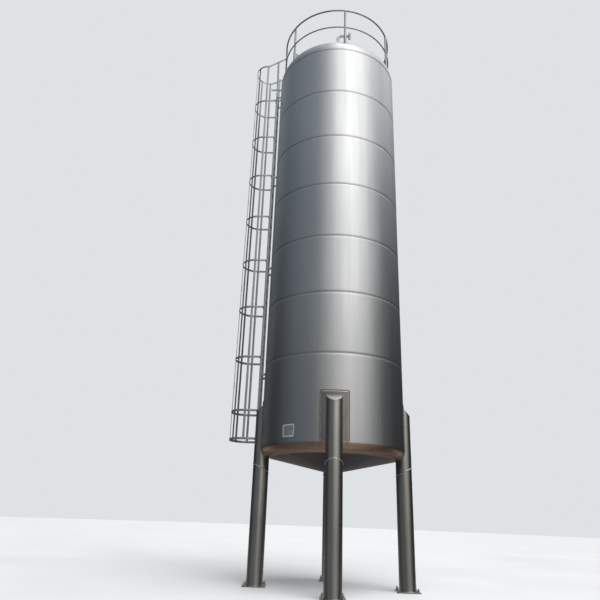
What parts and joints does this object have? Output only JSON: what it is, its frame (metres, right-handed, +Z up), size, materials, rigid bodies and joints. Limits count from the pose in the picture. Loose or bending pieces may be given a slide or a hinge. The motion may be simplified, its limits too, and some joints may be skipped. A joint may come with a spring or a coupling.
{
  "type": "vertical storage tank",
  "caption": "Tall stainless storage tank on tubular legs, with a dished roof, shallow conical bottom, caged ladder and roof guardrail.",
  "frame": {"origin": "centre of the bounding box on the ground, under the base plates; the tank's own axis lies 0.271 m towards +X", "axes": "+Z up along the tank's axis, -Y towards the leg that faces the viewer, ladder and cage on the -X side"},
  "size_m": [3.9528, 3.41, 13.491],
  "materials": {
    "shell_steel": "bright brushed stainless steel with the mill's upright streaks",
    "pipe_steel": "smooth stainless pipe",
    "rail_steel": "dull grey steel",
    "plate_metal": "bare light plate without text"
  },
  "bodies": {
    "root": {"shell_course_1": "shell_steel", "shell_course_2": "shell_steel", "shell_course_3": "shell_steel", "shell_course_4": "shell_steel", "shell_course_5": "shell_steel", "shell_course_6": "shell_steel", "shell_course_7": "shell_steel", "roof_knuckle_ring": "shell_steel", "roof_crown": "shell_steel", "bottom_head": "shell_steel", "front_leg_upper": "pipe_steel", "front_leg_lower": "pipe_steel", "front_leg_pad": "shell_steel", "front_leg_base": "pipe_steel", "right_leg_upper": "pipe_steel", "right_leg_lower": "pipe_steel", "right_leg_pad": "shell_steel", "right_leg_base": "pipe_steel", "back_leg_upper": "pipe_steel", "back_leg_lower": "pipe_steel", "back_leg_pad": "shell_steel", "back_leg_base": "pipe_steel", "left_leg_upper": "pipe_steel", "left_leg_lower": "pipe_steel", "left_leg_pad": "shell_steel", "left_leg_base": "pipe_steel", "ladder": "rail_steel", "cage_section_1": "rail_steel", "cage_section_2": "rail_steel", "cage_section_3": "rail_steel", "cage_section_4": "rail_steel", "cage_section_5": "rail_steel", "top_rail": "rail_steel", "mid_rail": "rail_steel", "rail_post_1": "rail_steel", "rail_post_2": "rail_steel", "rail_post_3": "rail_steel", "rail_post_4": "rail_steel", "rail_post_5": "rail_steel", "rail_post_6": "rail_steel", "rail_post_7": "rail_steel", "roof_nozzle": "pipe_steel", "roof_nozzle_flange": "pipe_steel", "outlet_nozzle": "pipe_steel", "label_plate": "plate_metal"}
  },
  "joints": []
}
